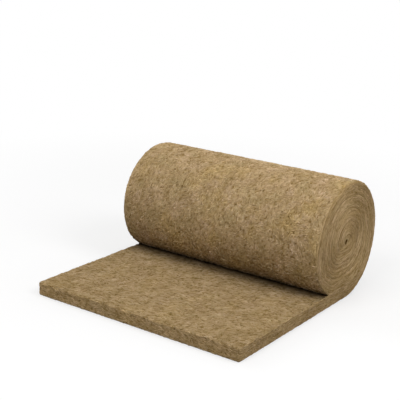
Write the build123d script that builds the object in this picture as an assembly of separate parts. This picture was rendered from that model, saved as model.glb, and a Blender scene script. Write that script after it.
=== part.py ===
"""A stone-wool insulation mat, wound into a roll that lies on its side with its free end rolled out in front.

The roll's axis lies along X, the unrolled tail runs towards -Y, +Z is up and the floor is at Z = 0.
The origin is on the floor, in the middle of the whole object. Lengths are in millimetres.
"""
from build123d import *
import os

# Driving dimensions
MAT_WIDTH = 1000.0  # along the roll's axis
MAT_THICKNESS = 58.0  # of the flat tail and of every lap in the roll
ROLL_RADIUS = 261.0  # from the roll's axis to its outer face
TAIL_REACH = 797.0  # from under the roll's axis to the tail's free end
NIP_REACH = 138.0  # from under the roll's axis to the line where the roll's front comes down on the tail
NIP_RADIUS = 3.0  # of the soft wool at the bottom of that nip
EYE_RADIUS = 12.0  # hollow where the winding starts
EYE_FORWARD = 14.0  # the hollow lies this far in front of the roll's axis
SEAM_WIDTH = 4.0  # groove between neighbouring laps, on both ends of the roll
SEAM_DEPTH = 15.0
SEAM_MOUTH = 15.0  # the groove starts this far out of the nip
EDGE_RADIUS = 6.0  # softened cut edges of the mat
CORNER_RADIUS = 10.0  # upright corners of the free end

# Places worked out from them: the roll's axis, as (Y, Z), and the lines of the section that meet it
AXIS_Y = (TAIL_REACH - ROLL_RADIUS) / 2.0
AXIS_Z = ROLL_RADIUS
FREE_END_Y = AXIS_Y - TAIL_REACH
NIP = (AXIS_Y - NIP_REACH, MAT_THICKNESS)


def around_axis(radius, forward=0.0, down=0.0):
    """The point of a circle about the roll's axis that lies this share of its radius forward and down."""
    return (AXIS_Y - forward * radius, AXIS_Z - down * radius)


def three_quarter_turn(radius):
    """The stretch of a lap that runs from under the roll's axis up its back, over its top and to its front."""
    under = around_axis(radius, down=1.0)
    back = around_axis(radius, forward=-1.0)
    top = around_axis(radius, down=-1.0)
    front = around_axis(radius, forward=1.0)
    rise = RadiusArc(under, back, -radius)
    over = RadiusArc(back, top, -radius)
    fall = RadiusArc(top, front, -radius)
    return [rise, over, fall]


def mat_section():
    """The mat seen along the roll's axis: the flat tail and the outer face of the last lap."""
    under = around_axis(ROLL_RADIUS, down=1.0)
    front = around_axis(ROLL_RADIUS, forward=1.0)
    underside = Line((FREE_END_Y, 0.0), under)
    dive = TangentArc(front, NIP, tangent=(0.0, -1.0))
    tail_top = Line(NIP, (FREE_END_Y, MAT_THICKNESS))
    free_end = Line((FREE_END_Y, MAT_THICKNESS), (FREE_END_Y, 0.0))
    section = make_face([underside, *three_quarter_turn(ROLL_RADIUS), dive, tail_top, free_end])
    return fillet(section.vertices().sort_by_distance(NIP)[0], NIP_RADIUS)


def seam_line():
    """The joint between the laps, from the open nip inwards: each lap drops by one thickness at its front."""
    radius = ROLL_RADIUS - MAT_THICKNESS
    mouth = (NIP[0] - SEAM_MOUTH, NIP[1])
    path = [Line(mouth, around_axis(radius, down=1.0))]
    while radius > EYE_RADIUS:
        path += three_quarter_turn(radius)
        front = around_axis(radius, forward=1.0)
        radius -= MAT_THICKNESS
        if radius > EYE_RADIUS:
            under = around_axis(radius, down=1.0)
            landing = (under[0] - MAT_THICKNESS, under[1])
            path.append(TangentArc(front, landing, tangent=(0.0, -1.0)))
            path.append(Line(landing, under))
    return path


def softened(mat):
    """The mat with its cut edges rounded: the free end's upright corners, then the rims right round it."""
    mat = fillet(mat.edges().filter_by(Axis.Z), CORNER_RADIUS)
    end_edges = mat.faces().filter_by(Axis.X).edges()
    return fillet(end_edges - end_edges.filter_by(Axis.Z), EDGE_RADIUS)


def wool_mat():
    """The whole mat as one solid, with the hollow along the roll and the laps' seams cut into both ends."""
    half_width = MAT_WIDTH / 2.0
    mat = softened(extrude(Plane.YZ * mat_section(), amount=half_width, both=True))
    eye = Plane.YZ * Pos(AXIS_Y - EYE_FORWARD, AXIS_Z) * Circle(EYE_RADIUS)
    mat -= extrude(eye, amount=half_width, both=True)
    seam = Plane.YZ * trace(seam_line(), SEAM_WIDTH)
    for side in (-1, 1):
        mat -= Pos(side * half_width, 0.0, 0.0) * extrude(seam, amount=SEAM_DEPTH, both=True)
    return mat


os.makedirs("parts", exist_ok=True)
export_step(wool_mat(), "parts/wool_mat.step")
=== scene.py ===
# %% [markdown]
# # A stone-wool mat, partly unrolled
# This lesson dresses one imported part: a mat of stone wool that is wound into a roll lying on its side,
# with its free end rolled out flat in front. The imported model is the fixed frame, and it is loaded first.
# Its box is kept, because the finished mat has to stay inside it, apart from a little loose wool.

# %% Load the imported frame
import math

import bmesh
import bpy
import numpy as np
from mathutils import Matrix, Vector, noise
from mathutils.bvhtree import BVHTree


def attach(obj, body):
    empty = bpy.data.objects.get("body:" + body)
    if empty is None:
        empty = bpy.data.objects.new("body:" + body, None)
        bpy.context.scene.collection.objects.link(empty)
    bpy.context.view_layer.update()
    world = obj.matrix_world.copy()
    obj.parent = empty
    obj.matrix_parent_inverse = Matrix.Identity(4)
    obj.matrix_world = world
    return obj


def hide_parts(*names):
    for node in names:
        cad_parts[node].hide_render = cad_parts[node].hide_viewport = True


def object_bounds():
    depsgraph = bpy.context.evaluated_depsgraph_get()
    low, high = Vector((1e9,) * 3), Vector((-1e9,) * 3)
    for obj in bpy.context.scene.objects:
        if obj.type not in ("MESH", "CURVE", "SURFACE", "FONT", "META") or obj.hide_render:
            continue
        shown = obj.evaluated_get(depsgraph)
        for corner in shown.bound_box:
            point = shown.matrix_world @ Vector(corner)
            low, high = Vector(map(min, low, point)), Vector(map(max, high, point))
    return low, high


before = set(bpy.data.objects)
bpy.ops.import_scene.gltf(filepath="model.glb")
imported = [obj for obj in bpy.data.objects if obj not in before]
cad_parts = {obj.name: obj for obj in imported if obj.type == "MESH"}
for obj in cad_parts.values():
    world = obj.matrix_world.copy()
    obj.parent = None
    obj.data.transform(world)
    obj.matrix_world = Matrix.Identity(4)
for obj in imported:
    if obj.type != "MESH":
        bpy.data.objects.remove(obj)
cad_low, cad_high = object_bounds()


def rounded(values, digits=4):
    """Numbers made short for printing."""
    return [round(value, digits) for value in values]


print("CAD box, metres:", rounded((*cad_low, *cad_high)))

# %% [markdown]
# ## The sizes that everything follows
# The frame's box gives the mat's width, the roll's radius and where the tail ends. Only the mat's own
# thickness and the place of the nip, where the roll's front comes down on the tail, have to be named here.
# The roll's axis lies along X, and the tail runs towards -Y.

# %% Sizes from the frame
MAT_THICKNESS = 0.058
NIP_REACH = 0.138  # from under the roll's axis to the nip

half_width = cad_high.x
roll_radius = (cad_high.z - cad_low.z) / 2.0
roll_axis = Vector((half_width, cad_high.y - roll_radius, roll_radius))
free_end_y = cad_low.y
nip = Vector((half_width, roll_axis.y - NIP_REACH, MAT_THICKNESS))
under_axis = Vector((half_width, roll_axis.y, MAT_THICKNESS))
print("roll radius", round(roll_radius, 4), "axis at", rounded(roll_axis.yz))

# %% [markdown]
# ## The camera
# The photograph looks down on the mat from its front right. A camera could be placed by eye, but the mat
# has enough corners to fit one: with the tail's corners and both rims of the roll in place, it stands about
# 4.4 m away with a long lens, and it is turned by two degrees.

# %% Camera
CAMERA_AZIMUTH = math.radians(35.16)  # from the -Y side, towards +X
CAMERA_ELEVATION = math.radians(16.38)
CAMERA_ROLL = math.radians(2.09)
CAMERA_DISTANCE = 4.3823
CAMERA_TARGET = Vector((-0.2223, roll_axis.y - 0.0527, 0.3045))
LENS_MM, SENSOR_MM = 87.28, 36.0


def add_camera():
    """A camera on a sphere round its target, looking at it, then turned about its own line of sight."""
    flat = math.cos(CAMERA_ELEVATION)
    aside, away = math.sin(CAMERA_AZIMUTH) * flat, -math.cos(CAMERA_AZIMUTH) * flat
    back = Vector((aside, away, math.sin(CAMERA_ELEVATION)))
    data = bpy.data.cameras.new("camera")
    data.lens = LENS_MM
    data.sensor_width = SENSOR_MM
    camera = bpy.data.objects.new("camera", data)
    bpy.context.scene.collection.objects.link(camera)
    turn = back.to_track_quat("Z", "Y").to_matrix().to_4x4() @ Matrix.Rotation(CAMERA_ROLL, 4, "Z")
    camera.matrix_world = Matrix.Translation(CAMERA_TARGET + back * CAMERA_DISTANCE) @ turn
    bpy.context.scene.camera = camera
    return camera


camera = add_camera()
print("camera at", rounded(camera.location, 3))

# %% [markdown]
# ## The floor
# The mat lies on a white studio floor. A white floor in strong light would do, but it would throw that
# light back onto the mat from below. So the floor's material asks which kind of ray meets it. To the camera
# it is pale and glows, so that it shows white and keeps a pale shadow, and far from the mat it only glows,
# so that no horizon shows. To all other rays it is plain grey, which keeps the cut faces darker than the
# top.

# %% Ask for the kind of ray
DIRECT_RAYS = ("Is Camera Ray", "Is Glossy Ray", "Is Transmission Ray")


def add_node(tree, kind, inputs, **settings):
    """A new node with these settings. Each input is linked to a socket or set to a plain value."""
    node = tree.nodes.new(kind)
    for name, value in settings.items():
        setattr(node, name, value)
    for name, value in inputs.items():
        if isinstance(value, bpy.types.NodeSocket):
            tree.links.new(value, node.inputs[name])
        else:
            node.inputs[name].default_value = value
    return node


def seen_directly(tree):
    """A socket that is 1 where the camera sees a surface, straight, in a gloss or through glass."""
    rays = add_node(tree, "ShaderNodeLightPath", {}).outputs
    seen = rays[DIRECT_RAYS[0]]
    for kind in DIRECT_RAYS[1:]:
        seen = add_node(tree, "ShaderNodeMath", {0: seen, 1: rays[kind]}, operation="MAXIMUM").outputs[0]
    return seen


def mixed_shaders(tree, fac, first, second):
    """The first shader where the factor is 0, the second where it is 1."""
    return add_node(tree, "ShaderNodeMixShader", {0: fac, 1: first, 2: second}).outputs[0]


print("rays that see the white ground:", len(DIRECT_RAYS))

# %% Material of the floor
FLOOR_BOUNCE = (0.20, 0.192, 0.184, 1.0)
FLOOR_SHOWN = (0.42, 0.42, 0.42, 1.0)
NEAR_GLOW, FAR_GLOW = 0.58, 1.0
GLOW_STARTS, GLOW_ENDS = 1.1, 3.2  # metres from the mat's middle between which the one becomes the other


def glow_shader(tree, strength):
    """A white glow."""
    return add_node(tree, "ShaderNodeEmission", {"Strength": strength}).outputs[0]


def diffuse_shader(tree, colour):
    """A dull surface."""
    return add_node(tree, "ShaderNodeBsdfDiffuse", {"Color": colour}).outputs[0]


def far_away(tree):
    """A socket that goes from 0 near the mat to 1 far from it."""
    place = add_node(tree, "ShaderNodeTexCoord", {}).outputs["Object"]
    distance = add_node(tree, "ShaderNodeVectorMath", {0: place}, operation="LENGTH").outputs["Value"]
    span = {"Value": distance, "From Min": GLOW_STARTS, "From Max": GLOW_ENDS}
    return add_node(tree, "ShaderNodeMapRange", span, interpolation_type="SMOOTHSTEP").outputs["Result"]


def floor_material():
    """White to the eye, and grey to all other rays."""
    material = bpy.data.materials.new("floor")
    material.use_nodes = True
    tree = material.node_tree
    tree.nodes.clear()
    pale, glow = diffuse_shader(tree, FLOOR_SHOWN), glow_shader(tree, NEAR_GLOW)
    near = add_node(tree, "ShaderNodeAddShader", {0: pale, 1: glow}).outputs[0]
    shown = mixed_shaders(tree, far_away(tree), near, glow_shader(tree, FAR_GLOW))
    surface = mixed_shaders(tree, seen_directly(tree), diffuse_shader(tree, FLOOR_BOUNCE), shown)
    add_node(tree, "ShaderNodeOutputMaterial", {"Surface": surface})
    return material


white_floor = floor_material()
print("nodes in the floor's material:", len(white_floor.node_tree.nodes))

# %% Floor
FLOOR_REACHES = 30.0  # metres from the mat's middle to each side


def add_floor():
    """A wide plain square."""
    square = bmesh.new()
    bmesh.ops.create_grid(square, x_segments=1, y_segments=1, size=FLOOR_REACHES)
    mesh = bpy.data.meshes.new("floor")
    square.to_mesh(mesh)
    square.free()
    mesh.materials.append(white_floor)
    floor = bpy.data.objects.new("floor", mesh)
    bpy.context.scene.collection.objects.link(floor)
    return floor


floor = add_floor()
print("floor", rounded(floor.dimensions, 1))

# %% [markdown]
# ## The light
# The mat stands in soft studio light that comes from all sides. One strong lamp would cast a hard shadow,
# so a dim even surround fills the shadows, and five wide lamps of one size hang round the mat. The two on
# the sides that the camera sees, in front and on the right, are the strongest. The two behind and on the
# left are weaker and hang lower, and the one overhead is very weak, so that the roll's top isn't too light.

# %% Surround
WHITE = (1.0, 1.0, 1.0, 1.0)
SURROUND_LIGHT, SURROUND_SHOWN = 0.29, 1.0  # strengths that light the mat and that the camera sees


def surround_shader(tree, strength):
    """An even white light from everywhere."""
    return add_node(tree, "ShaderNodeBackground", {"Color": WHITE, "Strength": strength}).outputs[0]


def add_surround():
    """A dim surround that is white to the camera."""
    world = bpy.data.worlds.new("surround")
    world.use_nodes = True
    bpy.context.scene.world = world
    tree = world.node_tree
    tree.nodes.clear()
    light, shown = surround_shader(tree, SURROUND_LIGHT), surround_shader(tree, SURROUND_SHOWN)
    surface = mixed_shaders(tree, seen_directly(tree), light, shown)
    add_node(tree, "ShaderNodeOutputWorld", {"Surface": surface})


add_surround()
bpy.context.scene.view_settings.view_transform = "Standard"
print("surround's strength:", SURROUND_LIGHT)

# %% Lamps
LAMP_SIZE = 2.2
LAMP_HEIGHT = 3.2  # of the point above the mat that the lamps are placed from
LAMP_REACH = 3.0  # how far from that point a lamp hangs, for a way of length 1
LAMPS = {  # the way from that point, and watts
    "front": (Vector((0.0, -1.0, 0.0)), 68.0),
    "right": (Vector((1.0, 0.0, 0.0)), 70.0),
    "back": (Vector((0.0, 1.1, -0.35)), 26.0),
    "left": (Vector((-1.1, 0.0, -0.35)), 32.0),
    "above": (Vector((0.0, 0.0, 0.3)), 3.0),
}


def add_lamp(name, way, watts):
    """A soft round lamp that looks at the roll's height over the mat's middle."""
    data = bpy.data.lights.new(name, "AREA")
    data.shape = "DISK"
    data.size = LAMP_SIZE
    data.energy = watts
    lamp = bpy.data.objects.new(name, data)
    bpy.context.scene.collection.objects.link(lamp)
    place = Vector((0.0, 0.0, LAMP_HEIGHT)) + way * LAMP_REACH
    lamp.location = place
    lamp.rotation_euler = (place - Vector((0.0, 0.0, roll_radius))).to_track_quat("Z", "Y").to_euler()
    return lamp


for name, setting in LAMPS.items():
    lamp = add_lamp(name, *setting)
    print("lamp", name, "at", rounded(lamp.location, 2))

# %% [markdown]
# ## Winding the mat
# A cut end of the mat is one long strip: the side of the tail, which goes on under the roll and round it,
# lap after lap, to the eye. It could be drawn as rings, but then no lap would run into the next. So a short
# line of points across the mat's thickness is swept along the way that the mat itself takes: straight along
# the floor, three quarters of a turn about the roll's axis, then a quarter turn about a point one thickness
# further forward, which brings it down onto the lap inside. Each point keeps how far along the mat it is
# and how deep in it.

# %% The line across the mat's thickness
ROLL_EDGE = 0.012  # how soft the roll's edges are
EDGE_ROWS = 3  # rows of points in each rounded edge
CORE_ROWS = 5  # rows between them

bm = bmesh.new()
along_layer = bm.verts.layers.float.new("along")  # metres along the mat from its free end
depth_layer = bm.verts.layers.float.new("depth")  # metres from the mat's outer face
seam_layer = bm.verts.layers.float.new("seam")  # 1 on the joint between two laps
rim_layer = bm.verts.layers.float.new("rim")  # metres from the mat's outline, along the inward direction
inward_layer = bm.verts.layers.float_vector.new("inward")  # away from the outline, or zero far from it
pit_layer = bm.verts.layers.float.new("pit")  # 1 at the bottom of a pit in the felt
uv_layer = bm.loops.layers.uv.new("mat")


def row_depths():
    """How deep each row of points lies: close together at both faces of the mat, wider between them."""
    edge = [ROLL_EDGE * row / EDGE_ROWS for row in range(EDGE_ROWS)]
    core = MAT_THICKNESS - 2.0 * ROLL_EDGE
    middle = [ROLL_EDGE + core * row / CORE_ROWS for row in range(CORE_ROWS + 1)]
    return edge + middle + [MAT_THICKNESS - depth for depth in reversed(edge)]


def thickness_line():
    """The points across the mat's thickness at its free end, from its underside up."""
    depths = row_depths()
    ends = [bm.verts.new((half_width, free_end_y, z)) for z in (0.0, MAT_THICKNESS)]
    edge = bm.edges.new(ends)
    bmesh.ops.subdivide_edges(bm, edges=[edge], cuts=len(depths) - 2)
    line = sorted(bm.verts, key=lambda vert: vert.co.z)
    for vert, depth in zip(line, depths):
        vert.co.z = depth
        vert[depth_layer] = depth
    return line


first_line = thickness_line()
print("rows across the mat, mm:", rounded([1000.0 * vert.co.z for vert in first_line], 1))

# %% Sweep the tail
TAIL_STEPS = 94  # from the free end to the nip
CONTACT_STEPS = 20  # from the nip to under the axis


def sweep(line, steps, move, advance):
    """Extrudes a line of points step by step, moving each copy by the matrix, and returns the new lines."""
    lines = []
    for _ in range(steps):
        edges = [bm.edges.get(pair) for pair in zip(line, line[1:])]
        made = bmesh.ops.extrude_edge_only(bm, edges=edges)["geom"]
        verts = [item for item in made if isinstance(item, bmesh.types.BMVert)]
        bmesh.ops.transform(bm, matrix=move, verts=verts, space=Matrix.Identity(4))
        line = sorted(verts, key=lambda vert: vert[depth_layer])
        for vert in line:
            vert[along_layer] += advance
        lines.append(line)
    return lines


def straight(line, steps, length):
    """Sweeps straight towards the roll's back."""
    return sweep(line, steps, Matrix.Translation((0.0, length / steps, 0.0)), length / steps)


tail = [first_line] + straight(first_line, TAIL_STEPS, nip.y - free_end_y)
contact = straight(tail[-1], CONTACT_STEPS, NIP_REACH)
seams_start = contact[-1][0][along_layer]  # nearer the free end no joint shows
print("under the roll's axis after", round(seams_start, 3), "m of the mat")

# %% Sweep the outer lap down into the nip
TURN_STEPS = 184  # in three quarters of a turn
DROP_STEPS = 45  # in the quarter turn that follows
RUN_STEPS = 11  # in the short run onto the lap inside
DIVE_STEPS = DROP_STEPS + RUN_STEPS - CONTACT_STEPS  # of the outer lap, from its front to the nip
THREE_QUARTERS, QUARTER = 1.5 * math.pi, 0.5 * math.pi

drop_axis = roll_axis - Vector((0.0, MAT_THICKNESS, 0.0))


def turned(line, steps, angle, centre, radius):
    """Sweeps round a centre, at this radius of the mat's outer face."""
    there, back = Matrix.Translation(centre), Matrix.Translation(-centre)
    return sweep(line, steps, there @ Matrix.Rotation(angle / steps, 4, "X") @ back, radius * angle / steps)


def dropped(line, radius):
    """Sweeps the quarter turn and the short run that bring the mat onto the lap inside."""
    lines = turned(line, DROP_STEPS, QUARTER, drop_axis, radius)
    return lines + straight(lines[-1], RUN_STEPS, MAT_THICKNESS)


def dive_to_nip(lines):
    """Moves the outer lap's front onto the arc down to the nip, and then along the tail's top."""
    front_y = roll_axis.y - roll_radius
    height = roll_axis.z - nip.z
    span = nip.y - front_y
    radius = (span ** 2 + height ** 2) / (2.0 * span)
    reach = math.asin(height / radius)
    for step, line in enumerate(lines, start=1):
        angle = reach * min(step / DIVE_STEPS, 1.0)
        y = front_y + radius * (1.0 - math.cos(angle))
        outside = Vector((half_width, y, roll_axis.z - radius * math.sin(angle)))
        if step > DIVE_STEPS:
            outside = nip.lerp(under_axis, (step - DIVE_STEPS) / CONTACT_STEPS)
        inside = line[-1].co.copy()
        for vert in line:
            vert.co = outside.lerp(inside, vert[depth_layer] / MAT_THICKNESS)


outer = turned(contact[-1], TURN_STEPS, THREE_QUARTERS, roll_axis, roll_radius)
fall = dropped(outer[-1], roll_radius - MAT_THICKNESS)
dive_to_nip(fall)
inner_laps_start = fall[-1][0][along_layer]  # from here on the mat has a lap outside it
print("outer lap ends after", round(inner_laps_start, 3), "m of the mat")

# %% Sweep the laps inside
INNER_LAPS = 3


def wind_laps(line, radius):
    """Sweeps lap after lap, each one thickness further in, and returns all their lines."""
    lines = []
    for lap in range(1, INNER_LAPS + 1):
        lines += turned(line, TURN_STEPS, THREE_QUARTERS, roll_axis, radius)
        radius -= MAT_THICKNESS
        if lap < INNER_LAPS:
            lines += dropped(lines[-1], radius)
        line = lines[-1]
    return lines


inner = wind_laps(fall[-1], roll_radius - MAT_THICKNESS)
print("cut end swept:", len(bm.faces), "faces, mat length", round(inner[-1][0][along_layer], 2), "m")

# %% [markdown]
# ## Marking the outline and the seams
# The laps of the real roll only touch, and the joint between them shows on the cut ends as a thin dark
# line. The sweep knows which of its points lie on that joint and which on the mat's outline. They could be
# found again later by measuring, but it is simpler to mark them now, before the laps are welded together.
# From the nip to under the roll's axis the joint is pressed shut, so only the nip's own point is marked
# there, and that point gets no inward direction.

# %% Mark and weld
WELD = 1e-5  # points nearer to each other than this are one


def mark_outline(line, from_top):
    """Gives the points of a line their distance from the outline on one side, and the way in from there."""
    inward = (line[-1].co - line[0].co).normalized()
    for vert in line:
        distance = MAT_THICKNESS - vert[depth_layer] if from_top else vert[depth_layer]
        if distance <= ROLL_EDGE:
            vert[rim_layer] = distance
            vert[inward_layer] = -inward if from_top else inward


def mark_seams():
    """Marks the points on the joint: the inside of every lap, and the outside of all but the outer one."""
    joint = [line[-1] for line in [tail[-1]] + outer + fall + inner] + [line[0] for line in inner]
    for vert in joint:
        vert[seam_layer] = 1.0


for line in tail + contact + outer + fall[:DIVE_STEPS - 1]:
    mark_outline(line, from_top=False)
for line in tail[:-1]:
    mark_outline(line, from_top=True)
mark_seams()
for face in bm.faces:
    for loop in face.loops:
        loop[uv_layer].uv = (loop.vert[along_layer], loop.vert[depth_layer])
bmesh.ops.remove_doubles(bm, verts=bm.verts, dist=WELD)
print("welded:", len(bm.verts), "points,", sum(round(v[seam_layer]) for v in bm.verts), "on seams")

# %% [markdown]
# ## The eye of the roll
# The innermost bit of the mat is folded on itself, and only a small leaning slit stays open in its middle.
# A disc with a hole could be set in there, but its edge would show. So the open edge that the sweep leaves
# is extruded inwards ring by ring until it reaches the slit, and the slit then runs on through the roll.

# %% The slit
EYE_FORWARD = 0.014  # the slit lies this far in front of the roll's axis
EYE_LONG, EYE_SHORT = 0.0118, 0.0078  # half of the slit's height and width
EYE_LEAN = math.radians(-36.0)  # its top leans away from the tail

eye_centre = roll_axis - Vector((0.0, EYE_FORWARD, 0.0))


def eye_point(place):
    """The point of the slit's edge that lies in the same direction from the eye."""
    offset = place - eye_centre
    angle = math.atan2(offset.z, offset.y)
    upright = math.cos(angle - math.pi / 2.0 - EYE_LEAN) ** 2
    reach = EYE_SHORT + (EYE_LONG - EYE_SHORT) * upright
    return eye_centre + Vector((0.0, math.cos(angle), math.sin(angle))) * reach


print("slit's middle, from the floor, mm:", round(1000.0 * eye_centre.z, 1))

# %% Close the middle down to the slit
CORE_RINGS = 6
EYE_MOUTH, EYE_THROAT = 0.012, 0.05  # lengths of the slit's first two stretches into the roll


def open_edges():
    """The edges that have a face on one side only."""
    return [edge for edge in bm.edges if edge.is_boundary]


def extruded(edges):
    """Extrudes edges in place and returns the new edges and points."""
    made = bmesh.ops.extrude_edge_only(bm, edges=edges)["geom"]
    verts = [item for item in made if isinstance(item, bmesh.types.BMVert)]
    fresh = set(verts)
    new_edges = [item for item in made if isinstance(item, bmesh.types.BMEdge)]
    return [edge for edge in new_edges if fresh.issuperset(edge.verts)], verts


def nearest(place, verts):
    """The one of some points that lies nearest to a place."""
    return min(verts, key=lambda vert: (vert.co - place).length_squared)


def close_core():
    """Extrudes the open middle ring by ring to the slit, and the slit on into the roll."""
    near = 2.0 * MAT_THICKNESS
    core = [edge for edge in open_edges() if all((v.co - roll_axis).length < near for v in edge.verts)]
    starts = {vert: vert.co.copy() for edge in core for vert in edge.verts}
    for ring in range(1, CORE_RINGS + 1):
        core, verts = extruded(core)
        starts = {vert: starts[nearest(vert.co, starts)] for vert in verts}
        for vert in verts:
            vert.co = starts[vert].lerp(eye_point(starts[vert]), ring / CORE_RINGS)
            vert[depth_layer] += MAT_THICKNESS / (2.0 * CORE_RINGS)
            vert[seam_layer] = 0.0
    for depth in (EYE_MOUTH, EYE_THROAT, half_width - EYE_MOUTH - EYE_THROAT):
        core, verts = extruded(core)
        bmesh.ops.translate(bm, verts=verts, vec=(-depth, 0.0, 0.0))


before = set(bm.faces)
close_core()
for face in set(bm.faces) - before:
    for loop in face.loops:
        into_roll = loop.vert[depth_layer] + half_width - loop.vert.co.x
        loop[uv_layer].uv = (loop.vert[along_layer], into_roll)
print("eye closed:", len(set(bm.faces) - before), "faces")

# %% [markdown]
# ## The broad faces
# What is left open now is the outline of the whole mat. One long extrusion would close it, but the wool
# needs points for its relief, so it is extruded along X to the middle of the mat in small steps. The faces
# get their place on the mat as their UV: the way along the mat from its free end, and the way across it.
# Round the free end the way goes on below zero, up the torn face and along the inner face, so the whole
# skin is one flat sheet. The outer face, which shows on the roll, the inner face, which shows on the tail,
# the torn free end, the cut sides and the eye have a finish each.

# %% Draw out the width
OUTER_FACE, INNER_FACE, FREE_END, CUT_FACE, EYE_WALL = range(5)
WIDTH_STEPS = 73
NEARLY = 1e-4  # lengths that differ by less are the same


def draw_out():
    """Extrudes the outline to the mat's middle."""
    outline = [e for e in open_edges() if any(v.co.x > half_width - ROLL_EDGE for v in e.verts)]
    edge_step, even_step = ROLL_EDGE / EDGE_ROWS, (half_width - ROLL_EDGE) / WIDTH_STEPS
    for step in (*[edge_step] * EDGE_ROWS, *[even_step] * WIDTH_STEPS):
        outline, verts = extruded(outline)
        bmesh.ops.translate(bm, verts=verts, vec=(-step, 0.0, 0.0))


def skin_way(along, depth):
    """The way along the skin: from the free end outside, or below zero up the end and inside."""
    return along if depth < NEARLY else -(depth + along)


def skin_finish(along, depths):
    """Which finish a face of the skin has, from its corners' places along and in the mat."""
    if max(depths) - min(depths) > NEARLY and max(along) < NEARLY:
        return FREE_END
    return INNER_FACE if min(depths) > ROLL_EDGE else OUTER_FACE


def unwrap_skin(faces):
    """Gives the new faces their finish and lays them flat: metres along the skin, and metres across it."""
    for face in faces:
        along = [loop.vert[along_layer] for loop in face.loops]
        depths = [loop.vert[depth_layer] for loop in face.loops]
        face.material_index = skin_finish(along, depths)
        in_nip = max(along) - min(along) > MAT_THICKNESS
        for loop in face.loops:
            way = skin_way(max(along) if in_nip else loop.vert[along_layer], loop.vert[depth_layer])
            loop[uv_layer].uv = (way, loop.vert.co.x)


for face in bm.faces:
    deep = min(vert.co.x for vert in face.verts) < half_width - NEARLY
    face.material_index = EYE_WALL if deep else CUT_FACE
before = set(bm.faces)
draw_out()
unwrap_skin(set(bm.faces) - before)
print("half of the mat:", len(bm.faces), "faces")

# %% [markdown]
# ## Soft edges
# The edges of the wool are soft. A bevel would do it on a plain block, but here the edge runs into the
# narrow nip, where bevels cross. So each point is moved as if a ball rolled along inside the edge: a point
# that is further from the ball's middle than its radius is drawn onto the ball. Points on the flat faces
# lie exactly that far away, and stay.

# %% Round the edges
TAIL_EDGE = 0.006  # how soft the tail's edges are


def held(value):
    """A value kept between 0 and 1."""
    return min(max(value, 0.0), 1.0)


def edge_radius(vert):
    """The edge is crisper on the tail than on the roll."""
    up_the_roll = (vert[along_layer] - (nip.y - free_end_y)) / roll_radius
    return TAIL_EDGE + (ROLL_EDGE - TAIL_EDGE) * held(up_the_roll)


def round_edges():
    """Draws the points of the edges onto the ball, and returns how many were moved."""
    moved = 0
    for vert in bm.verts:
        radius = edge_radius(vert)
        middle = vert.co + vert[inward_layer] * max(radius - vert[rim_layer], 0.0)
        middle.x = min(middle.x, half_width - radius)
        middle.y = max(middle.y, free_end_y + radius)
        offset = vert.co - middle
        if offset.length > radius:
            vert.co = middle + offset.normalized() * radius
            moved += offset.length > radius + NEARLY
    return moved


print("points drawn in at the edges:", round_edges())

# %% [markdown]
# ## The other half
# Both ends of the real mat are alike in form, but no two bits of wool are. So the half is mirrored, and the
# mirrored faces get other places in the UV, which gives them a pattern of their own. Extruding makes faces
# in another order each time Blender runs, so they are sorted here: then the strands that are laid on them
# later fall on the same spots every time.

# %% Mirror
OTHER_SIDE = 10.0  # metres along the mat between the patterns of the two cut sides


def face_rank(face):
    """A number for each face, worked out from its points."""
    first, second, third = sorted(vert.index for vert in face.verts)[:3]
    return (first * len(bm.verts) + second) * len(bm.verts) + third


def shift_pattern(face):
    """Gives a face of the mirrored half its own place in the UV."""
    for loop in face.loops:
        if face.material_index in (CUT_FACE, EYE_WALL):
            loop[uv_layer].uv.x += OTHER_SIDE
        else:
            loop[uv_layer].uv.y *= -1.0


half = bm.verts[:] + bm.edges[:] + bm.faces[:]
bmesh.ops.mirror(bm, geom=half, matrix=Matrix.Identity(4), merge_dist=WELD, axis="X")
bmesh.ops.recalc_face_normals(bm, faces=bm.faces)
bm.verts.index_update()
bm.faces.sort(key=face_rank)
for face in bm.faces:
    if face.calc_center_median().x < 0.0:
        shift_pattern(face)
print("whole mat:", len(bm.faces), "faces, open edges:", len(open_edges()))

# %% [markdown]
# ## Settling
# A roll of wool doesn't stay quite round. Under its own weight its top sinks by some millimetres, and its
# back swells just above the floor. A lattice could do this, but the two moves are simple enough to be
# worked out for each point: one grows with the height above the floor, the other with the distance from the
# roll's axis.

# %% Let the roll settle
SAG = 0.0075  # how far the roll's top sinks
SWELL = 0.009  # how far its back swells
SWELL_ANGLE = math.radians(35.0)  # where, from straight down towards the back
SWELL_REACH = math.radians(45.0)


def faded(distance, reach):
    """1 at a distance of 0, falling smoothly to 0 at the reach."""
    share = max(1.0 - distance / reach, 0.0)
    return share * share * (3.0 - 2.0 * share)


def settled(place):
    """Where a point of the mat comes to lie."""
    arm = Vector((0.0, place.y - roll_axis.y, place.z - roll_axis.z))
    angle = math.atan2(arm.y, -arm.z)
    swell = SWELL * faded(abs(angle - SWELL_ANGLE), SWELL_REACH) * (arm.length / roll_radius) ** 2
    sunk = SAG * (place.z / (2.0 * roll_radius)) ** 2
    place = place + arm.normalized() * swell - Vector((0.0, 0.0, sunk))
    place.z = max(place.z, 0.0)
    return place


for vert in bm.verts:
    vert.co = settled(vert.co)
print("roll's height, settled:", round(max(vert.co.z for vert in bm.verts), 4))

# %% [markdown]
# ## Relief of the wool
# Stone wool isn't smooth: its faces are lumpy and pitted, the cut ends show the layers that the wool was
# laid in, and the top edge of the free end is torn. Displace modifiers could raise it, but each face has
# its own kind of relief, and they have to blend at the edges. So every point moves along its normal by a
# sum of noises: wide waves, lumps of a few centimetres, small flecks and scattered pits on the broad faces,
# and noise drawn out along the mat into layers on the cut ends, where the seams sink in here and there.

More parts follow.
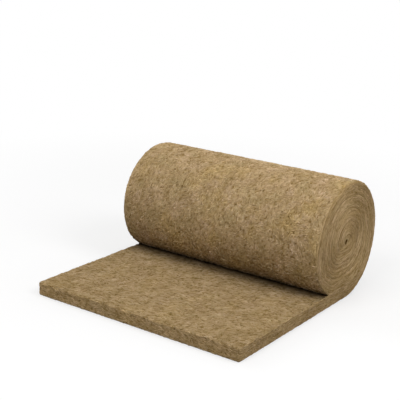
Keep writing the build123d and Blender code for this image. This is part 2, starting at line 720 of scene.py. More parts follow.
# %% Relief of the broad faces
WAVE_HEIGHT, WAVE_LENGTH = 0.0013, 0.20
LUMP_HEIGHT, LUMP_LENGTH = 0.0010, 0.055
FLECK_HEIGHT, FLECK_LENGTH = 0.0018, 0.021
PIT_DEPTH, PIT_LENGTH = 0.0015, 0.0125
PIT_STARTS, PIT_ENDS = 0.20, 0.60  # noise values at the rim and at the bottom of a pit
PIT_PLANE = 40.0  # the height in the noise that the pits are read at
FACES_APART = 0.5  # metres in the noise between the outer and the inner face


def waves(place, length, seed):
    """Smooth noise from about -1 to 1 whose waves are this long."""
    return noise.noise(place / length + Vector((seed, 2.0 * seed, -seed)))


def layered_noise(place, octaves=2):
    """Noise with finer noises on it, each half as long and half as high as the one before."""
    return noise.fractal(place, 1.0, 2.0, octaves)


def pit_share(along, across):
    """1 at the bottom of a pit in the felt, 0 outside the pits."""
    value = noise.noise(Vector((along / PIT_LENGTH, across / PIT_LENGTH, PIT_PLANE)))
    return held((value - PIT_STARTS) / (PIT_ENDS - PIT_STARTS))


def skin_height(vert):
    """How far a point of a broad face is raised."""
    flat = Vector((vert[along_layer], vert.co.x, FACES_APART * vert[depth_layer] / MAT_THICKNESS))
    height = FLECK_HEIGHT * layered_noise(flat / FLECK_LENGTH)
    height += LUMP_HEIGHT * waves(vert.co, LUMP_LENGTH, seed=1.0)
    height += WAVE_HEIGHT * waves(vert.co, WAVE_LENGTH, seed=2.0)
    return height - PIT_DEPTH * vert[pit_layer]


heights = [1000.0 * skin_height(vert) for vert in bm.verts]
print("relief of felt without its pits, mm:", rounded((min(heights), max(heights)), 2))

# %% Relief of the cut ends
LAYER_HEIGHT, LAYER_LENGTH, LAYER_DEPTH = 0.0016, 0.30, 0.014
SIDES_APART = 9.0  # the place of each side in the noise, either way from zero
SEAM_DEPTH, SEAM_LENGTH = 0.003, 0.07
SEAM_OPEN, SEAM_CHANGE = 0.45, 0.9  # how deep the seams are on average, and how much that changes


def cut_height(vert):
    """How far a point of a cut end is raised."""
    side = math.copysign(SIDES_APART, vert.co.x)
    layers = Vector((vert[along_layer] / LAYER_LENGTH, vert[depth_layer] / LAYER_DEPTH, side))
    lumps = LUMP_HEIGHT * waves(vert.co, LUMP_LENGTH, seed=5.0)
    height = LAYER_HEIGHT * layered_noise(layers) + lumps
    sunk = SEAM_DEPTH * max(SEAM_OPEN + SEAM_CHANGE * waves(vert.co, SEAM_LENGTH, seed=31.0), 0.0)
    return height - vert[seam_layer] * sunk


heights = [1000.0 * cut_height(vert) for vert in bm.verts]
print("relief of cut wool, mm:", rounded((min(heights), max(heights)), 2))

# %% [markdown]
# ## Torn and frayed edges
# The top edge of the free end was torn, not cut, and the tail's long edges are a little frayed. A noise in
# all directions does that: it moves the torn edge in and out and up and down, and the long edges less.
# Blender starts these noise vectors from the clock, so they get a seed first.

# %% Torn edges
TEAR_HEIGHT, TEAR_LENGTH, TEAR_REACH = 0.0065, 0.024, 0.022
FRAY_HEIGHT, FRAY_LENGTH, FRAY_REACH = 0.0024, 0.018, 0.014
TEAR_RISE, FRAY_RISE = 0.5, 0.6  # how much of the noise goes up and down
FINE_LENGTH, FINE_HEIGHT = 0.4, 0.5  # of the finer noise on it, as shares
STILL_REACH = 0.035  # the wool stays still this near the nip
TEAR_SEED = 5

noise.seed_set(TEAR_SEED)


def roughness(place, length):
    """Two octaves of noise as a vector."""
    fine = noise.noise_vector(place / (FINE_LENGTH * length))
    return noise.noise_vector(place / length) + FINE_HEIGHT * fine


def torn(vert):
    """How the top edges of the tail move."""
    above = vert.co.z - MAT_THICKNESS
    move = Vector()
    end_share = faded(math.hypot(vert.co.y - free_end_y, above), TEAR_REACH)
    if end_share > 0.0:
        rough = roughness(vert.co, TEAR_LENGTH)
        move += TEAR_HEIGHT * end_share * Vector((0.0, rough.y, TEAR_RISE * rough.z))
    side_share = faded(math.hypot(half_width - abs(vert.co.x), above), FRAY_REACH)
    side_share *= held((nip.y - vert.co.y) / STILL_REACH)
    if side_share > 0.0:
        rough = roughness(vert.co, FRAY_LENGTH)
        move += FRAY_HEIGHT * side_share * Vector((rough.x, 0.0, FRAY_RISE * rough.z))
    return move


print("points that the tear and the fraying move:", sum(torn(vert).length > NEARLY for vert in bm.verts))

# %% [markdown]
# ## Moving the points
# Now each point is moved by the relief of the face that it lies on, and on an edge by a blend of both. The
# foot of each face stays straight, because the mat's weight presses it flat, and right in the nip all
# stays still, so that the two faces there don't run into each other. The bmesh has normals of its own, but
# a plain mesh adds them up in the same order each time, so they are taken from one.

# %% Raise the wool
CUT_STARTS, CUT_ENDS = 0.5, 0.9  # a normal's sideways part between which cut wool takes over from felt
FLOOR_REACH = 0.02  # how high the straight foot is


def point_normals():
    """The normals of all points."""
    plain = bpy.data.meshes.new("plain")
    bm.to_mesh(plain)
    normals = [normal.vector.copy() for normal in plain.vertex_normals]
    bpy.data.meshes.remove(plain)
    return normals


def raise_wool():
    """Moves every point by the relief of the wool, and returns the largest move."""
    moves = {}
    for vert, normal in zip(bm.verts, point_normals()):
        cut_share = held((abs(normal.x) - CUT_STARTS) / (CUT_ENDS - CUT_STARTS))
        way = skin_way(vert[along_layer], vert[depth_layer])
        vert[pit_layer] = (1.0 - cut_share) * pit_share(way, vert.co.x)
        height = cut_share * cut_height(vert) + (1.0 - cut_share) * skin_height(vert)
        height *= 1.0 - faded(vert.co.z, FLOOR_REACH)
        height *= 1.0 - (1.0 - cut_share) * faded((vert.co.yz - nip.yz).length, STILL_REACH)
        moves[vert] = normal * height + torn(vert)
    for vert, move in moves.items():
        vert.co += move
        vert.co.z = max(vert.co.z, 0.0)
    return max(move.length for move in moves.values())


print("largest move, mm:", round(1000.0 * raise_wool(), 1))

# %% [markdown]
# ## The wool's own colours
# Stone wool is spun from melted rock and bound with a little resin. Its fibres are straw to brown, and the
# resin tints whole patches: some are more yellow, some pinker, some nearly olive. A picture could carry
# this, but it would show its seams and its pixels. So the patches and a fine mottling are made by noises
# that read the UV laid out in metres, and they follow the mat round the roll.

# %% Dull wool and noise on its UV
WOOL_ROUGHNESS, WOOL_GLOSS = 0.95, 0.02


def new_material(name):
    """A dull material, its node tree and its shader."""
    material = bpy.data.materials.new(name)
    material.use_nodes = True
    shader = material.node_tree.nodes["Principled BSDF"]
    shader.inputs["Roughness"].default_value = WOOL_ROUGHNESS
    shader.inputs["Specular IOR Level"].default_value = WOOL_GLOSS
    return material, material.node_tree, shader


def noise_node(tree, along, across, shift=0.0, detail=4.0, roughness=0.6):
    """Noise on the mat's UV, with waves of these lengths in metres. The shift picks another pattern."""
    uv = add_node(tree, "ShaderNodeUVMap", {}, uv_map="mat").outputs["UV"]
    scale, place = (1.0 / along, 1.0 / across, 1.0), (shift, 2.0 * shift, shift)
    sockets = {"Vector": uv, "Scale": scale, "Location": place}
    vector = add_node(tree, "ShaderNodeMapping", sockets).outputs["Vector"]
    sockets = {"Vector": vector, "Scale": 1.0, "Detail": detail, "Roughness": roughness}
    return add_node(tree, "ShaderNodeTexNoise", sockets).outputs["Fac"]


print("wool's roughness and gloss:", WOOL_ROUGHNESS, WOOL_GLOSS)

# %% Ramps and mixes of colours
MIX_FACTOR, MIX_FIRST, MIX_SECOND, MIX_RESULT = 0, 6, 7, 2  # the Mix node's sockets for colours


def ramp_node(tree, fac, places, colours):
    """Colours at some places between 0 and 1, blended between them."""
    ramp = add_node(tree, "ShaderNodeValToRGB", {"Fac": fac})
    elements = ramp.color_ramp.elements
    while len(elements) < len(places):
        elements.new(places[1])
    for element, place, colour in zip(elements, places, colours):
        element.position = place
        element.color = (*colour, 1.0)
    return ramp.outputs["Color"]


def span_node(tree, value, low, high):
    """A value from 0 at low to 1 at high, held to that range."""
    sockets = {"Value": value, "From Min": low, "From Max": high}
    return add_node(tree, "ShaderNodeMapRange", sockets).outputs["Result"]


def mix_node(tree, fac, first, second, blend="MIX"):
    """Blends two colours. The second is a socket or a plain colour."""
    second = second if isinstance(second, bpy.types.NodeSocket) else (*second, 1.0)
    sockets = {MIX_FACTOR: fac, MIX_FIRST: first, MIX_SECOND: second}
    mix = add_node(tree, "ShaderNodeMix", sockets, data_type="RGBA", blend_type=blend)
    return mix.outputs[MIX_RESULT]


def tinted(tree, colour, tint):
    """A colour multiplied by another."""
    return mix_node(tree, 1.0, colour, tint, "MULTIPLY")


def attribute_node(tree, name):
    """A value that the mesh keeps for each point."""
    return add_node(tree, "ShaderNodeAttribute", {}, attribute_name=name).outputs["Fac"]


print("sockets of a mix of colours:", MIX_FACTOR, MIX_FIRST, MIX_SECOND, MIX_RESULT)

# %% Patches and flecks
OLIVE, KHAKI, PINK_TAN = (0.462, 0.336, 0.168), (0.518, 0.365, 0.191), (0.548, 0.387, 0.227)
PATCH_PLACES = (0.30, 0.50, 0.68)
RESIN_YELLOW = (0.558, 0.388, 0.166)
RESIN_STARTS, RESIN_ENDS = 0.51, 0.73
RESIN_SIZE, CLUMP_SIZE = 1.3, 0.42  # as shares of the patches' size
GRAIN_PLACES = (0.30, 0.50, 0.70)  # of the dark, middle and light tones of clumps and flecks
CLUMP_TONES = ((0.84, 0.82, 0.75), (1.0, 1.0, 1.0), (1.14, 1.16, 1.22))
FLECK_TONES = ((0.52, 0.47, 0.28), (0.92, 0.92, 0.90), (1.22, 1.30, 1.48))


def patched_wool(tree, along, across, evenness):
    """The slow changes of colour: patches, yellow where resin gathered, and lighter and darker clumps."""
    patches = noise_node(tree, along, across, detail=3.0, roughness=0.55)
    colour = ramp_node(tree, patches, PATCH_PLACES, (OLIVE, KHAKI, PINK_TAN))
    resin = noise_node(tree, RESIN_SIZE * along, RESIN_SIZE * across, shift=7.3)
    colour = mix_node(tree, span_node(tree, resin, RESIN_STARTS, RESIN_ENDS), colour, RESIN_YELLOW)
    colour = mix_node(tree, evenness, colour, KHAKI)
    clumps = noise_node(tree, CLUMP_SIZE * along, CLUMP_SIZE * across, shift=2.6, detail=2.0)
    return tinted(tree, colour, ramp_node(tree, clumps, GRAIN_PLACES, CLUMP_TONES))


def mottled(tree, colour, along, across, raised, shader):
    """Fine light and dark flecks over a colour, which also stand out a little as a bump."""
    flecks = noise_node(tree, along, across, detail=5.0, roughness=0.7)
    sockets = {"Strength": 1.0, "Distance": raised, "Height": flecks}
    bump = add_node(tree, "ShaderNodeBump", sockets).outputs["Normal"]
    tree.links.new(bump, shader.inputs["Normal"])
    return tinted(tree, colour, ramp_node(tree, flecks, GRAIN_PLACES, FLECK_TONES))


print("patches run through", len(PATCH_PLACES), "colours, clumps through", len(CLUMP_TONES), "tones")

# %% [markdown]
# ## The finishes
# The outer face of the mat is the lightest. The inner face and the cut faces are a little darker, and the
# cut faces have thin layers and, here and there, the dark joint between the laps. Deep in the nip the wool
# is nearly black with shade, and at the foot of the ends it is a little darker. Light alone gives only a
# part of that, so the rest is painted shade in the colours: attributes say how deep in the shade a point
# is, and the colour goes to brown there.

# %% Finish of the broad faces
# the first colour is the dark of the joints and of pits, where it is partly painted shade in the hollow,
# and also the painted shade at the foot of the ends
# the second colour is the painted shade, nearly black, that the wool goes to deep in the nip
PIT_JOINT_AND_SHADE_BROWN, NIP_SHADE_BROWN = (0.17, 0.103, 0.030), (0.013, 0.0042, 0.0002)
PLAIN_TINT, INNER_TINT, FREE_END_TINT = (1.0, 1.0, 1.0), (0.788, 0.786, 0.762), (0.97, 0.95, 0.90)
FELT_PATCH = dict(along=0.10, across=0.09, evenness=0.10)  # patches' length and width, and how even in hue
TAIL_PATCH = dict(along=0.10, across=0.09, evenness=0.55)
FELT_FLECK = dict(along=0.014, across=0.012, raised=0.004)


def painted_nip_shade(tree, colour):
    """Painted shade: the colour goes to nearly black deep in the nip."""
    return mix_node(tree, attribute_node(tree, "shelter"), colour, NIP_SHADE_BROWN)


def felted_wool(name, tint, patch):
    """A broad face of the mat."""
    material, tree, shader = new_material(name)
    colour = mottled(tree, patched_wool(tree, **patch), **FELT_FLECK, shader=shader)
    # pits go dark brown: partly the felt's own dark spots, partly painted shade in the hollow
    colour = mix_node(tree, attribute_node(tree, "pit"), colour, PIT_JOINT_AND_SHADE_BROWN)
    tree.links.new(painted_nip_shade(tree, tinted(tree, colour, tint)), shader.inputs["Base Color"])
    return material


outer_felt = felted_wool("outer_felt", PLAIN_TINT, FELT_PATCH)
inner_felt = felted_wool("inner_felt", INNER_TINT, TAIL_PATCH)
torn_felt = felted_wool("torn_felt", FREE_END_TINT, TAIL_PATCH)
print("materials:", [material.name for material in (outer_felt, inner_felt, torn_felt)])

# %% Finish of the cut faces
END_TINT = (1.03, 1.01, 0.942)
LAYER_PATCH = dict(along=0.40, across=0.030, evenness=0.60)
LAYER_FLECK = dict(along=0.11, across=0.006, raised=0.003)
GAP_SIZE, GAP_STARTS, GAP_ENDS = (0.13, 0.05), 0.36, 0.62  # of the places where a joint shows


def painted_foot_shade(tree, colour):
    """Painted shade at the foot of the roll's ends, near the floor."""
    return mix_node(tree, attribute_node(tree, "foot"), colour, PIT_JOINT_AND_SHADE_BROWN)


def cut_wool(name, tint):
    """The cut faces, with their thin layers and the joints between the laps, which show in places."""
    material, tree, shader = new_material(name)
    colour = mottled(tree, patched_wool(tree, **LAYER_PATCH), **LAYER_FLECK, shader=shader)
    gaping = span_node(tree, noise_node(tree, *GAP_SIZE, shift=4.7), GAP_STARTS, GAP_ENDS)
    joint = {0: attribute_node(tree, "seam"), 1: gaping}
    shown = add_node(tree, "ShaderNodeMath", joint, operation="MULTIPLY").outputs[0]
    colour = mix_node(tree, shown, colour, PIT_JOINT_AND_SHADE_BROWN)
    tree.links.new(painted_foot_shade(tree, tinted(tree, colour, tint)), shader.inputs["Base Color"])
    return material


cut_layers = cut_wool("cut_layers", END_TINT)
print("nodes in the cut faces' material:", len(cut_layers.node_tree.nodes))

# %% Finish of the eye: painted shade
EYE_FLECK = (0.02, 0.01)
# the eye wall's dark brown tones are painted shade
EYE_PLACES, EYE_SHADE_TONES = (0.3, 0.7), ((0.11, 0.060, 0.015), (0.20, 0.115, 0.034))


def eye_painted_shade(name):
    """The wall of the eye, painted dark brown as shade, because hardly any light reaches it."""
    material, tree, shader = new_material(name)
    colour = ramp_node(tree, noise_node(tree, *EYE_FLECK), EYE_PLACES, EYE_SHADE_TONES)
    tree.links.new(colour, shader.inputs["Base Color"])
    return material


finishes = [outer_felt, inner_felt, torn_felt, cut_layers, eye_painted_shade("eye_wall")]
print("finishes of the mat:", len(finishes))

# %% [markdown]
# ## The shade in the nip
# Between the roll and the tail the wool is nearly black with shade, and the shade fades out along the tail
# and up the roll. It is narrower at the right end, where light comes in from the side. The soft lamps give
# only a part of it, and a stronger one would cast hard shadows elsewhere, so the rest is painted shade,
# worked out from each point's place: a deep shade and a faint, wide one along the tail, a faint one up the
# roll, and a dark crease at its foot. The ends of the roll get a faint painted shade near the floor.

# %% Shade of the nip
TAIL_SHELTER, SHELTER_FALL = 0.103, 1.25  # how far the deep shade reaches on the tail, and how it falls off
FAR_SHELTER, FAR_SHADE = 0.36, 0.10  # how far the faint shade reaches there, and how dark it is
ROLL_SHELTER, ROLL_SHADE = 0.26, 0.31  # how far the shade reaches up the roll, and how dark it is
CREASE_REACH, CREASE_SHADE = 0.018, 0.85  # the dark foot of the roll, right in the nip
SHELTER_SLOPE = 0.2  # what rises less than this from the nip belongs to the tail
OPEN_REACH = 0.27  # how far light comes into the nip from the right end
OPEN_LIGHT, OPEN_NARROWS = 1.0, 0.08  # how much of the roll's shade it takes, and of the tail's deep reach


def faint_shade(distance, reach, shade):
    """A shade that falls smoothly to nothing at its reach, for many distances at once."""
    share = np.clip(1.0 - distance / reach, 0.0, 1.0)
    return shade * share * share * (3.0 - 2.0 * share)


def nip_shade(points):
    """How deep in the shade of the nip some points are: 1 in it, 0 far from it."""
    apart = points[:, 1:] - np.array(nip.yz)
    distance = np.linalg.norm(apart, axis=1)
    opened = faint_shade(half_width - points[:, 0], OPEN_REACH, 1.0)
    deep_reach = TAIL_SHELTER * (1.0 - OPEN_NARROWS * opened)
    deep = 1.0 - np.minimum(distance / deep_reach, 1.0) ** SHELTER_FALL
    on_tail = np.maximum(deep, faint_shade(distance, FAR_SHELTER, FAR_SHADE))
    on_roll = faint_shade(distance, ROLL_SHELTER, ROLL_SHADE) * (1.0 - OPEN_LIGHT * opened)
    on_roll = np.maximum(on_roll, faint_shade(distance, CREASE_REACH, CREASE_SHADE))
    return np.where(apart[:, 1] < SHELTER_SLOPE * distance, on_tail, on_roll)


print("shade in the nip's middle:", rounded(nip_shade(np.array([[0.0, *nip.yz]])), 2))

# %% Shade at the foot of the ends
FOOT_REACH, FOOT_SHADE = 0.14, 0.30  # how high it is, and how dark


def foot_shade(points):
    """How dark the painted shade at the foot of the roll's ends is at some points: nothing on the tail,
    more near the floor.
    """
    past_nip = np.clip((points[:, 1] - nip.y) / NIP_REACH, 0.0, 1.0)
    return past_nip * faint_shade(points[:, 2], FOOT_REACH, FOOT_SHADE)


print("shade on the floor under the axis:", rounded(foot_shade(np.array([[0.0, roll_axis.y, 0.0]])), 2))

# %% [markdown]
# ## The finished mat
# The mesh becomes an object that rides on the part's only body and stands for the imported solid. The wool
# gives under a hand. Cloth could be blown up for that, but the mat is no bag: its form is the winding
# itself.

# %% Make the mat
def read_array(items, name, columns, kind=np.float64):
    """A property of many mesh items as an array with this many columns."""
    values = np.empty(len(items) * columns, kind)
    items.foreach_get(name, values)
    return values.reshape(-1, columns)


def write_values(mesh, name, values):
    """Keeps a value for each point of a mesh."""
    mesh.attributes.new(name, "FLOAT", "POINT").data.foreach_set("value", values)


def add_piece(name, mesh, materials):
    """Makes an object of a finished mesh."""
    points = read_array(mesh.vertices, "co", 3)
    # the painted shade of the nip and the painted shade at the foot of the ends, kept for each point
    write_values(mesh, "shelter", nip_shade(points))
    write_values(mesh, "foot", foot_shade(points))
    for material in materials:
        mesh.materials.append(material)
    mesh.shade_smooth()
    piece = bpy.data.objects.new(name, mesh)
    bpy.context.scene.collection.objects.link(piece)
    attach(piece, "root")
    return piece


body_mesh = bpy.data.meshes.new("wool_mat_body")
bm.to_mesh(body_mesh)
surface = BVHTree.FromBMesh(bm)
bm.free()
body = add_piece("wool_mat_body", body_mesh, finishes)
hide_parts("wool_mat")
print("mat triangles:", sum(len(polygon.vertices) - 2 for polygon in body_mesh.polygons))

# %% [markdown]
# ## Loose strands
# What makes wool look like wool are its strands. They could be hair, but the exported part should have them
# as plain meshes, so thousands of small closed spindles are laid on the mat: each has two pointed ends,
# which dip into the mat, and two rings of three points between them. They are far too many for an operator
# each, so they are worked out together as arrays. Every strand starts at a random spot of the finished mat.
# None starts on the underside, which nobody sees.

# %% Spots on the mat
FACING_DOWN = -0.8  # normals that point further down than this belong to the underside
TINY = 1e-12


def unit(vectors):
    """Vectors made one long. Those without a length stay zero."""
    return vectors / np.maximum(np.linalg.norm(vectors, axis=-1, keepdims=True), TINY)


def mat_triangles(mesh):
    """Corner points, corner UVs and finish of every triangle of the mat."""
    mesh.calc_loop_triangles()
    triangles = mesh.loop_triangles
    points, uvs = read_array(mesh.vertices, "co", 3), read_array(mesh.uv_layers["mat"].uv, "vector", 2)
    verts, loops = (read_array(triangles, name, 3, np.int32) for name in ("vertices", "loops"))
    return points[verts], uvs[loops], read_array(triangles, "material_index", 1, np.int32)[:, 0]


def random_spots(rng, corners, uvs, count):
    """Spots spread evenly over some triangles: place, UV, normal and the way along the mat there."""
    edge_a, edge_b = corners[:, 1] - corners[:, 0], corners[:, 2] - corners[:, 0]
    cross = np.cross(edge_a, edge_b)
    area = np.linalg.norm(cross, axis=1)
    chosen = np.searchsorted(np.cumsum(area), rng.uniform(0.0, area.sum(), count))
    share = rng.uniform(0.0, 1.0, (count, 2))
    share = np.where(share.sum(1, keepdims=True) > 1.0, 1.0 - share, share)
    parts = np.c_[1.0 - share.sum(1), share][:, :, None]
    du_a, du_b = uvs[chosen, 1] - uvs[chosen, 0], uvs[chosen, 2] - uvs[chosen, 0]
    along = edge_a[chosen] * du_b[:, 1:] - edge_b[chosen] * du_a[:, 1:]
    turn = du_a[:, :1] * du_b[:, 1:] - du_b[:, :1] * du_a[:, 1:]
    along = unit(along * np.sign(turn))
    return (corners[chosen] * parts).sum(1), (uvs[chosen] * parts).sum(1), unit(cross[chosen]), along


corners, corner_uvs, finish = mat_triangles(body_mesh)
middle = corners.mean(1)
facing = unit(np.cross(corners[:, 1] - corners[:, 0], corners[:, 2] - corners[:, 0]))
on_floor = (facing[:, 2] < FACING_DOWN) & (middle[:, 2] < FLOOR_REACH)
print("triangles to lay strands on:", int((~on_floor).sum()))

# %% [markdown]
# ## From spots to strands
# A strand runs at some angle to the way along the mat. It is a little bent by chance, and on the roll's
# ends it also follows the winding. A shrinkwrap could press the finished strands onto the relief, but it
# would flatten them. So only the four points of each line are pressed, by a search for the nearest spot of
# the surface, before the strand gets its width. A strand that would span a gap, as from the roll over to
# the tail, stands off the mat between its points. Such strands are dropped.

# %% Follow the mat
SPINE = np.array([-0.5, -0.2, 0.2, 0.5])  # places along a strand, as shares of its length
STRAND_BEND = 0.035  # sideways, as a share of the length
OFF_MOST = 0.003  # no strand leaves the mat by more
TIGHTEST = MAT_THICKNESS / 4.0  # strands near the eye bend no more than at this radius


def pressed(points):
    """The nearest points of the mat's surface, and its normals there."""
    found = [surface.find_nearest(Vector(point)) for point in points.reshape(-1, 3)]
    return (np.array([hit[part] for hit in found]).reshape(points.shape) for part in (0, 1))


def winding_curl(places):
    """How much the laps bend at some spots, as vectors towards the roll's axis. The tail is straight."""
    arm = (np.array(roll_axis) - places) * np.array([0.0, 1.0, 1.0])
    distance = np.maximum(np.linalg.norm(arm, axis=1, keepdims=True), TIGHTEST)
    on_tail = (places[:, 2] < MAT_THICKNESS) & (places[:, 1] < roll_axis.y)
    return np.where(on_tail[:, None], 0.0, arm / distance ** 2)


def strand_spines(rng, spots, angles, lengths, curl):
    """The lines that the strands follow: straight ones, with a chance bend and then the winding's curl."""
    places, _, normals, along = spots
    side = np.cross(normals, along)
    way = along * np.cos(angles)[:, None] + side * np.sin(angles)[:, None]
    bend = unit(np.cross(normals, way)) * (rng.normal(0.0, STRAND_BEND, len(places)) * lengths)[:, None]
    bow = 1.0 - 4.0 * SPINE ** 2  # all of the bend in the middle, nothing at the tips
    drift = 0.5 * (SPINE[None, :] * lengths[:, None]) ** 2  # how far a circle leaves its tangent
    spine = places[:, None] + way[:, None] * (SPINE[None, :, None] * lengths[:, None, None])
    spine = spine + bend[:, None] * bow[None, :, None]
    return spine + curl[:, None] * drift[:, :, None]


def close_to_mat(on_mat):
    """True for the strands that stay near the mat between their points too."""
    between = 0.5 * (on_mat[:, :-1] + on_mat[:, 1:])
    on_surface, _ = pressed(between)
    return np.linalg.norm(between - on_surface, axis=2).max(1) < OFF_MOST


print("bend of the outer lap, 1/m:", round(1.0 / roll_radius, 2))

# %% Triangles of a strand
RING = np.radians([90.0, 210.0, 330.0])  # of the points in a ring
STRAND_POINTS = 2 * len(RING) + 2


def strand_faces():
    """The triangles of one strand, whose points are a tip, two rings and a tip."""
    faces = []
    sides = len(RING)
    for j in range(sides):
        k = (j + 1) % sides
        first, next_first, second, next_second = 1 + j, 1 + k, 1 + sides + j, 1 + sides + k
        faces += [(0, next_first, first), (first, next_first, next_second)]
        faces += [(first, next_second, second), (second, next_second, STRAND_POINTS - 1)]
    return np.array(faces)


print("triangles in a strand:", len(strand_faces()))

# %% Points of the strands
STRAND_FLATNESS = 0.7  # height over width
TIP_SINK = 0.4  # how deep the tips dip into the mat, as a share of the width


def strand_points(on_mat, mat_normals, widths, lift):
    """The points of the strands: their tips sunk into the mat, their rings round the raised middle."""
    heights = np.stack([-TIP_SINK * widths, lift, lift, -TIP_SINK * widths], 1)
    spine = on_mat + mat_normals * heights[:, :, None]
    rings = []
    for ring in (1, 2):
        ahead = unit(spine[:, ring + 1] - spine[:, ring - 1])
        across = unit(np.cross(mat_normals[:, ring], ahead))
        upward = np.cross(ahead, across)
        circle = across[:, None] * np.cos(RING)[None, :, None]
        circle = circle + STRAND_FLATNESS * upward[:, None] * np.sin(RING)[None, :, None]
        rings.append(spine[:, ring, None] + circle * (0.5 * widths)[:, None, None])
    points = np.concatenate([spine[:, :1], *rings, spine[:, 3:]], 1)
    points[:, :, 2] = np.maximum(points[:, :, 2], 0.0)
    return points


print("a strand's height over its width:", STRAND_FLATNESS)

# %% Join the strands
MOST_TRIANGLES = 200000  # of a piece


def spindle_mesh(name, points, uvs, tones):
    """One joined mesh of strands, each with one place in the UV and one tone."""
    count = len(points)
    faces = strand_faces()
    loops = (faces[None] + STRAND_POINTS * np.arange(count)[:, None, None]).reshape(-1)
    mesh = bpy.data.meshes.new(name)
    mesh.vertices.add(STRAND_POINTS * count)
    mesh.vertices.foreach_set("co", points.reshape(-1))
    mesh.loops.add(len(loops))
    mesh.loops.foreach_set("vertex_index", loops)
    mesh.polygons.add(len(loops) // 3)
    mesh.polygons.foreach_set("loop_start", np.arange(0, len(loops), 3))
    mesh.update(calc_edges=True)
    uv_map = mesh.uv_layers.new(name="mat")
    uv_map.uv.foreach_set("vector", np.repeat(uvs, faces.size, axis=0).reshape(-1))
    write_values(mesh, "tone", np.repeat(tones, STRAND_POINTS))
    return mesh


print("strands that fit into one piece:", MOST_TRIANGLES // len(strand_faces()))

# %% [markdown]
# ## Tones of the strands
# Neighbouring strands share some of their tone, in round spots on the felt and in long streaks on the cut
# ends. The rest is each strand's own, and a few odd ones are much darker. A noise texture could colour
# them, but then every strand would change colour along its length. So each one gets a single tone, which
# its material reads. Strands on an open joint are darker, and so are strands in a pit, partly as painted
# shade in the hollow.

# %% Tone of each strand
MIDDLE_TONE, ODD_TONE = 0.5, 0.04
SEAM_REACH = 0.006  # how near a seam the strands are darker
GAPE, GAPE_CHANGE, GAPE_LENGTH = 0.5, 1.2, 0.12  # how open the joint is, its changes, and their length
GAPE_PLACE = (3.0, 7.0)  # where in the noise this is read
PROBES = 100


def banded_tones(uvs, grain):
    """Tones from about -1 to 1 in streaks as long and as deep as the grain."""
    return np.array([layered_noise(Vector((u / grain[0], v / grain[1], 0.0)), octaves=3) for u, v in uvs])


def seam_share(along, depth):
    """1 on the joint between two laps, 0 away from it, and weak where the joint is pressed shut."""
    place = along % OTHER_SIDE
    inside = faded(MAT_THICKNESS - depth, SEAM_REACH) if place > seams_start else 0.0
    outside = faded(depth, SEAM_REACH) if place > inner_laps_start else 0.0
    gaping = GAPE + GAPE_CHANGE * noise.noise(Vector((along / GAPE_LENGTH, *GAPE_PLACE)))
    return max(inside, outside) * held(gaping)


def strand_tones(rng, uvs, hollows, grain, shared, own, darkened, odd_share):
    """A tone from 0 to 1 for each strand: partly shared with its neighbours, partly its own."""
    tones = MIDDLE_TONE + shared * banded_tones(uvs, grain) + rng.normal(0.0, own, len(uvs))
    # darker in hollows: on joints the joint's own dark, in pits partly painted shade
    tones = tones - darkened * hollows
    odd = rng.uniform(0.0, 1.0, len(uvs)) < odd_share
    return np.clip(np.where(odd, ODD_TONE, tones), 0.0, 1.0)


joint = [seam_share(seams_start + step / PROBES, MAT_THICKNESS) for step in range(1, PROBES + 1)]
print("how open the joint's first metre is, from 0 to 1:", round(sum(joint) / PROBES, 2))

# %% Lay the strands
STRAND_LIFT = 0.0014  # how far a strand is raised, for a tone of 1 above the low one
LOW_TONE = 0.3  # darker strands lie below the surface
PIT_SINK = 0.001  # how much deeper they lie in a pit or on an open joint
SWIRL_LENGTH = 0.085  # neighbouring strands lie alike, in swirls about this large
SWIRL_PLANE = 60.0  # the height in the noise that the swirls are read at


def strand_angles(rng, uvs, lean, swirl, spread):
    """The angle of each strand to the way along the mat. The settings are in degrees."""
    turns = np.array([layered_noise(Vector((u, v, SWIRL_PLANE))) for u, v in uvs / SWIRL_LENGTH])
    return np.radians(lean + swirl * turns + rng.normal(0.0, spread, len(uvs)))


def lay_strands(name, seed, chosen, count, lengths, widths, lay, tone, material, felted):
    """Lays strands on the chosen triangles. Lengths and widths are lowest and highest values in metres."""
    rng = np.random.default_rng(seed)
    spots = random_spots(rng, corners[chosen], corner_uvs[chosen], count)
    places, uvs = spots[:2]
    hollows = np.array([(pit_share if felted else seam_share)(u, v) for u, v in uvs])
    tones = strand_tones(rng, uvs, hollows, **tone)
    angles = strand_angles(rng, uvs, **lay)
    lengths, widths = rng.uniform(*lengths, count), rng.uniform(*widths, count)
    curl = np.zeros((count, 3)) if felted else winding_curl(places)
    on_mat, mat_normals = pressed(strand_spines(rng, spots, angles, lengths, curl))
    lift = STRAND_LIFT * (tones - LOW_TONE) - PIT_SINK * hollows
    points = strand_points(on_mat, mat_normals, widths, lift)
    kept = close_to_mat(on_mat)
    mesh = spindle_mesh(name, points[kept], uvs[kept], tones[kept])
    add_piece(name, mesh, [material])
    print(name, "triangles:", len(mesh.polygons))


print("strands rise by up to, mm:", round(1000.0 * STRAND_LIFT * (1.0 - LOW_TONE), 2))

# %% [markdown]
# ## Strands of the broad faces
# The roll's outer face has short flat strands and finer, longer fibres between them, and the tail's inner
# face has strands of one kind, which lean to one side. One mesh for all would be too large for a piece, so
# each kind is a mesh of its own. Their material has the felt's patches and painted shade, made lighter or
# darker by each strand's tone.

# %% Material of the strands
TONE_PLACES = (0.0, 0.5, 1.0)
STRAND_TONES = ((0.43, 0.36, 0.14), (1.0, 1.0, 1.0), (1.30, 1.38, 1.62))


def strand_wool(name, tint, patch, shaded):
    """Single strands in the patches' colours, with the painted shade of the face that they lie on."""
    material, tree, shader = new_material(name)
    tone = ramp_node(tree, attribute_node(tree, "tone"), TONE_PLACES, STRAND_TONES)
    colour = tinted(tree, tinted(tree, patched_wool(tree, **patch), tone), tint)
    tree.links.new(shaded(tree, colour), shader.inputs["Base Color"])
    return material


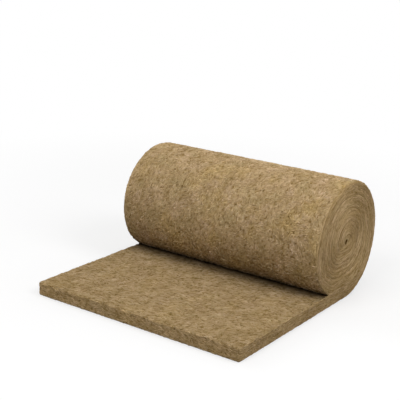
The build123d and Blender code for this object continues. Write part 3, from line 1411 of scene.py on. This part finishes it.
# the strands of the broad faces carry the painted shade of the nip
outer_strand = strand_wool("outer_strand", PLAIN_TINT, FELT_PATCH, shaded=painted_nip_shade)
inner_strand = strand_wool("inner_strand", INNER_TINT, TAIL_PATCH, shaded=painted_nip_shade)
print("materials:", [material.name for material in (outer_strand, inner_strand)])

# %% Lay the broad faces' strands
FELT_GRAIN = (0.026, 0.022)  # how long and how wide the spots of one tone are, in metres
OUTER_LAY = dict(lean=-30.0, swirl=75.0, spread=25.0)
INNER_LAY = dict(lean=-60.0, swirl=60.0, spread=22.0)
OUTER_TONE = dict(grain=FELT_GRAIN, shared=0.19, own=0.31, darkened=0.44, odd_share=0.09)
INNER_TONE = dict(grain=FELT_GRAIN, shared=0.05, own=0.275, darkened=0.60, odd_share=0.15)

on_outer = (finish == OUTER_FACE) & ~on_floor
lay_strands(
    "outer_strands", seed=11, chosen=on_outer, count=16000, lengths=(0.010, 0.028),
    widths=(0.0028, 0.0062), lay=OUTER_LAY, tone=OUTER_TONE, material=outer_strand, felted=True,
)
lay_strands(
    "outer_fibres", seed=14, chosen=on_outer, count=16000, lengths=(0.014, 0.044),
    widths=(0.0012, 0.0030), lay=OUTER_LAY, tone=OUTER_TONE, material=outer_strand, felted=True,
)
lay_strands(
    "inner_strands", seed=12, chosen=finish == INNER_FACE, count=16000, lengths=(0.013, 0.043),
    widths=(0.0016, 0.0046), lay=INNER_LAY, tone=INNER_TONE, material=inner_strand, felted=True,
)

# %% [markdown]
# ## Strands of the cut faces
# On the cut ends of the roll the strands lie in the layers, so they run along the mat in thin streaks and
# follow the winding. The tail's sides have shorter ones with less order, and on the torn free end they
# run across the mat. Laying them in the same way with other settings keeps all of this in one function.
# Round the eye none is laid, because it would bridge the slit.

# %% Lay the cut faces' strands
SIDE_TINT = (0.85, 0.83, 0.785)
LAYER_GRAIN, SIDE_GRAIN = (0.17, 0.0068), (0.05, 0.014)
LAYER_LAY = dict(lean=0.0, swirl=16.0, spread=5.0)
SIDE_LAY = dict(lean=0.0, swirl=20.0, spread=15.0)
FREE_END_LAY = dict(lean=90.0, swirl=30.0, spread=20.0)
LAYER_TONE = dict(grain=LAYER_GRAIN, shared=0.63, own=0.265, darkened=0.55, odd_share=0.06)
SIDE_TONE = dict(grain=SIDE_GRAIN, shared=0.40, own=0.24, darkened=0.0, odd_share=0.06)
FREE_END_TONE = dict(grain=FELT_GRAIN, shared=0.26, own=0.20, darkened=0.30, odd_share=0.05)
EYE_CLEAR = 0.024  # no strand starts this near the eye

# the strands of the cut faces carry the painted shade at the foot of the ends
end_strand = strand_wool("end_strand", END_TINT, LAYER_PATCH, shaded=painted_foot_shade)
side_strand = strand_wool("tail_side_strand", SIDE_TINT, TAIL_PATCH, shaded=painted_foot_shade)
free_end_strand = strand_wool("free_end_strand", FREE_END_TINT, TAIL_PATCH, shaded=painted_foot_shade)
from_eye = np.hypot(middle[:, 1] - eye_centre.y, middle[:, 2] - eye_centre.z)
on_tail_side = (finish == CUT_FACE) & (middle[:, 1] < roll_axis.y) & (middle[:, 2] < MAT_THICKNESS)
on_roll_end = (finish == CUT_FACE) & ~on_tail_side & (from_eye > EYE_CLEAR)
lay_strands(
    "end_strands", seed=13, chosen=on_roll_end, count=12000, lengths=(0.016, 0.052),
    widths=(0.0014, 0.0032), lay=LAYER_LAY, tone=LAYER_TONE, material=end_strand, felted=False,
)
lay_strands(
    "tail_side_strands", seed=16, chosen=on_tail_side, count=2500, lengths=(0.010, 0.032),
    widths=(0.0016, 0.0040), lay=SIDE_LAY, tone=SIDE_TONE, material=side_strand, felted=False,
)
lay_strands(
    "free_end_strands", seed=15, chosen=finish == FREE_END, count=2000, lengths=(0.010, 0.034),
    widths=(0.0018, 0.0044), lay=FREE_END_LAY, tone=FREE_END_TONE, material=free_end_strand, felted=True,
)
